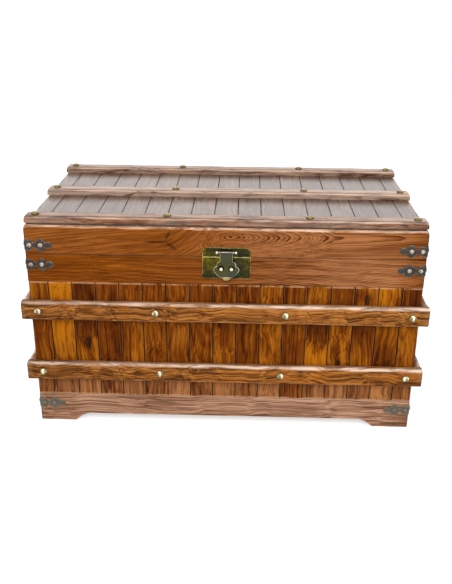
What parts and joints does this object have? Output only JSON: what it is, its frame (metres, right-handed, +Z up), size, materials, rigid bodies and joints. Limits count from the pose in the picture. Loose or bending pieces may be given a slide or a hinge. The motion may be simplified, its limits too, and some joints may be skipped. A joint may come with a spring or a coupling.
{
  "type": "sea chest",
  "caption": "Wooden sea chest with slatted walls, nailed battens, lobed iron corner straps, a hinged flat lid with a hasp latch, and drop handles on the ends.",
  "frame": {"origin": "on the floor under the middle of the chest", "axes": "+X along the length to the right, +Y from front to back, +Z up"},
  "size_m": [0.737, 0.417, 0.4125],
  "materials": {
    "rail_wood": "orange-brown satin varnish over pine",
    "slat_wood": "scorched and brushed pine, satin varnish",
    "batten_wood": "scorched pine, satin varnish",
    "plinth_wood": "mauve-brown stained pine, satin varnish",
    "lid_wood": "scorched pine, satin varnish",
    "inner_wood": "plain pine and plywood",
    "latch_brass": "antiqued, olive",
    "nail_brass": "antiqued, polished crowns",
    "strap_iron": "blackened",
    "pin_steel": "worn"
  },
  "bodies": {
    "base": {"base_batten_nails": "nail_brass", "base_hinge_leaves": "strap_iron", "base_latch_pins": "nail_brass", "base_screws": "strap_iron", "base_strap_nails": "nail_brass", "batten_lower_back": "batten_wood", "batten_lower_front": "batten_wood", "batten_lower_left": "batten_wood", "batten_lower_right": "batten_wood", "batten_upper_back": "batten_wood", "batten_upper_front": "batten_wood", "batten_upper_left": "batten_wood", "batten_upper_right": "batten_wood", "bottom_cleats": "inner_wood", "bottom_panel": "inner_wood", "corner_posts": "inner_wood", "handle_left_plate": "strap_iron", "handle_right_plate": "strap_iron", "hinge_pins": "strap_iron", "latch_base_plate": "latch_brass", "panel_back": "inner_wood", "panel_front": "inner_wood", "panel_left": "inner_wood", "panel_right": "inner_wood", "plinth_back": "plinth_wood", "plinth_corner_straps": "strap_iron", "plinth_front": "plinth_wood", "plinth_left": "plinth_wood", "plinth_right": "plinth_wood", "rail_back": "rail_wood", "rail_corner_straps": "strap_iron", "rail_front": "rail_wood", "rail_left": "rail_wood", "rail_right": "rail_wood", "slats_back": "slat_wood", "slats_front": "slat_wood", "slats_left": "slat_wood", "slats_right": "slat_wood"},
    "lid": {"latch_hinge_pin": "pin_steel", "latch_lid_plate": "latch_brass", "lid_back_board": "rail_wood", "lid_batten_back": "lid_wood", "lid_batten_front": "lid_wood", "lid_batten_middle": "lid_wood", "lid_batten_nails": "nail_brass", "lid_corner_straps": "strap_iron", "lid_front_board": "rail_wood", "lid_hinge_leaves": "strap_iron", "lid_latch_pins": "nail_brass", "lid_left_board": "rail_wood", "lid_panel": "inner_wood", "lid_right_board": "rail_wood", "lid_screws": "strap_iron", "lid_slats": "lid_wood", "lid_strap_nails": "nail_brass"},
    "hasp": {"hasp": "latch_brass", "hasp_studs": "nail_brass"},
    "left_handle": {"handle_left_bail": "strap_iron"},
    "right_handle": {"handle_right_bail": "strap_iron"}
  },
  "joints": [
    {"name": "lid_hinge", "type": "hinge", "parent": "base", "child": "lid", "pos_m": [0, 0.1944, 0.34115], "axis": [-1, 0, 0], "range_deg": [0, 100]},
    {"name": "hasp_swing", "type": "hinge", "parent": "lid", "child": "hasp", "pos_m": [0.0027, -0.1942, 0.3506], "axis": [-1, 0, 0], "range_deg": [0, 160]},
    {"name": "left_handle_swing", "type": "hinge", "parent": "base", "child": "left_handle", "pos_m": [-0.3575, 0, 0.2], "axis": [0, 1, 0], "range_deg": [0, 140]},
    {"name": "right_handle_swing", "type": "hinge", "parent": "base", "child": "right_handle", "pos_m": [0.3575, 0, 0.2], "axis": [0, -1, 0], "range_deg": [0, 140]}
  ]
}
